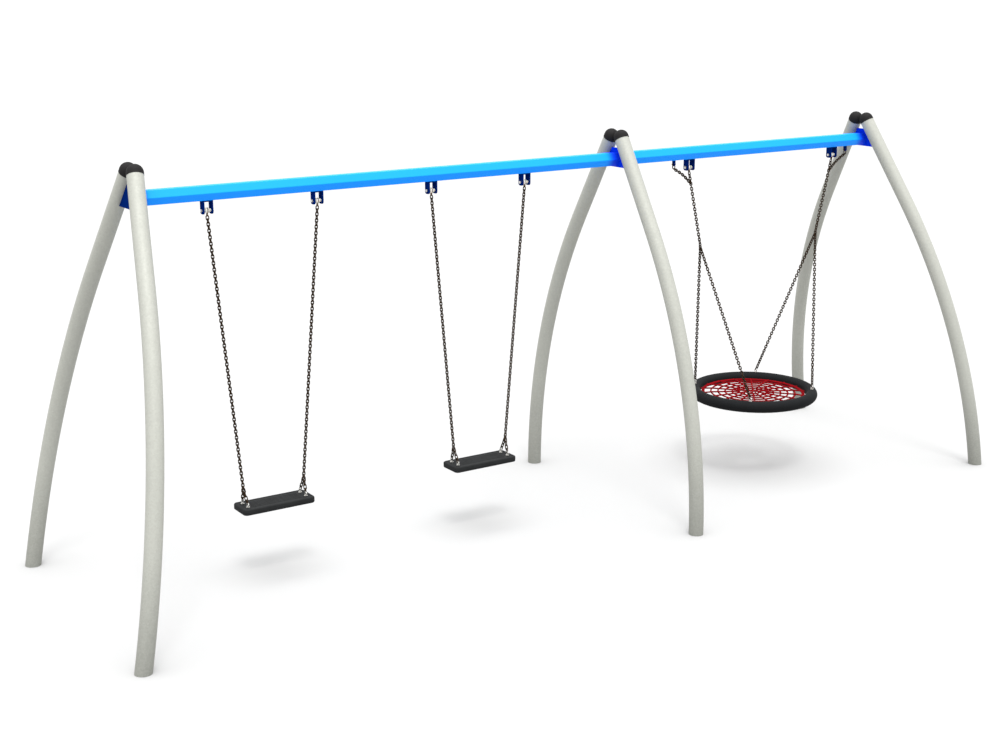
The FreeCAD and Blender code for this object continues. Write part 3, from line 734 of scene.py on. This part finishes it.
def seat_profile(thick):
    """(inset, height) from the middle of the underside, round the edge, to the top panel."""
    turns = [math.pi / 2 * k / EDGE_STEPS for k in range(EDGE_STEPS + 1)]
    line = thick / 2
    rows = [(HOLLOW_EDGE + HOLLOW_SLOPE, HOLLOW_DEPTH), (HOLLOW_EDGE, 0.0)]
    rows += [(SEAT_EDGE * (1 - math.sin(a)), SEAT_EDGE * (1 - math.cos(a))) for a in turns]
    rows += [(0.0, line - PARTING_HALF), (-PARTING_RAISE, line), (0.0, line + PARTING_HALF)]
    rows += [(SEAT_EDGE * (1 - math.cos(a)), thick - SEAT_EDGE * (1 - math.sin(a)))
             for a in turns]
    rows += [(BORDER + inset, thick - drop) for inset, drop in PANEL_SLOPE]
    return rows


def moulded_seat(number):
    """Rubber slab with a ribbed panel on top, in one piece."""
    low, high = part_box("seat_%d_pad" % number)
    centre = (low + high) / 2
    half_x, half_y, thick = (high.x - low.x) / 2, (high.y - low.y) / 2, high.z - low.z
    loops = []
    for inset, height in seat_profile(thick):
        radius = max(SEAT_CORNER - inset, LEAST_CORNER)
        loops.append(rounded_outline(half_x - inset, half_y - inset, radius, height))
    size = len(loops[0])
    base = Vector((centre.x, centre.y, low.z))
    points = [base + point for loop in loops for point in loop]
    faces = [list(range(size))[::-1]]
    for row in range(len(loops) - 1):
        near, far = row * size, (row + 1) * size
        for k in range(size):
            faces.append((near + k, near + (k + 1) % size, far + (k + 1) % size, far + k))
    faces.append(list(range((len(loops) - 1) * size, len(loops) * size)))
    slab = piece_from(mesh_of("slab", points, faces=faces), "slab", SEAT_RUBBER)
    smooth(slab)

    rib_half = X_AXIS * (half_x - RIB_END)
    rib_middle = Vector((centre.x, 0, high.z - RIB_WIDTH / 2))
    ribs = grown("ribs", [([rib_middle - rib_half, rib_middle + rib_half], False)], BAR_TREE,
                 Count=RIB_COUNT, First=Y_AXIS * (-RIB_SPACING * (RIB_COUNT - 1) / 2),
                 Step=Y_AXIS * RIB_SPACING, Radius=RIB_WIDTH / 2, Material=SEAT_RUBBER)
    seat = joined("seat_%d_moulding" % number, [slab, ribs])
    settle(seat, "seat_%d" % number, "seat_%d_pad" % number)


# ---------------------------------------------------------------- floor and light

FLOOR_REACH = 60.0       # metres
FLOOR_DROP = 0.5 * MM    # below the legs' lower ends
DOME_STRENGTH = 1.3
# Each light: its name, energy, width across the sky in degrees, and where it comes from.
LIGHTS = (("overhead", 4.4, 66, (-0.03, -0.1, 1.0)), ("front", 1.2, 16, (-0.23, -0.5, 1.0)))


def studio():
    """Pale floor under an even dome, a wide soft light overhead and a weaker one in front."""
    corners = [(x * FLOOR_REACH, y * FLOOR_REACH, -FLOOR_DROP)
               for x, y in ((-1, -1), (1, -1), (1, 1), (-1, 1))]
    piece_from(mesh_of("floor", corners, faces=[(0, 1, 2, 3)]), "floor", floor_paint())

    world = bpy.data.worlds.new("studio_dome")
    bpy.context.scene.world = world
    world.use_nodes = True
    connect(world.node_tree, world.node_tree.nodes["Background"], {
        "Color": linear("#ffffff"), "Strength": DOME_STRENGTH})

    for name, energy, width, source in LIGHTS:
        light = bpy.data.lights.new(name, "SUN")
        light.energy = energy
        light.angle = math.radians(width)
        lamp = bpy.data.objects.new(name, light)
        lamp.rotation_euler = Vector(source).to_track_quat("Z", "Y").to_euler()
        bpy.context.scene.collection.objects.link(lamp)
    bpy.context.scene.view_settings.view_transform = "Standard"


make_camera()
dress_frame()
studio()
for number in (1, 2):
    hang_chains("swing_%d" % number, "swing_%d" % number, "seat_%d" % number,
                turned_eyes=True, twist=0)
hang_chains("basket", "basket_swing", "basket", turned_eyes=False, twist=BASKET_TWIST)
safety_chains()
rope_net()
for number in (1, 2):
    moulded_seat(number)
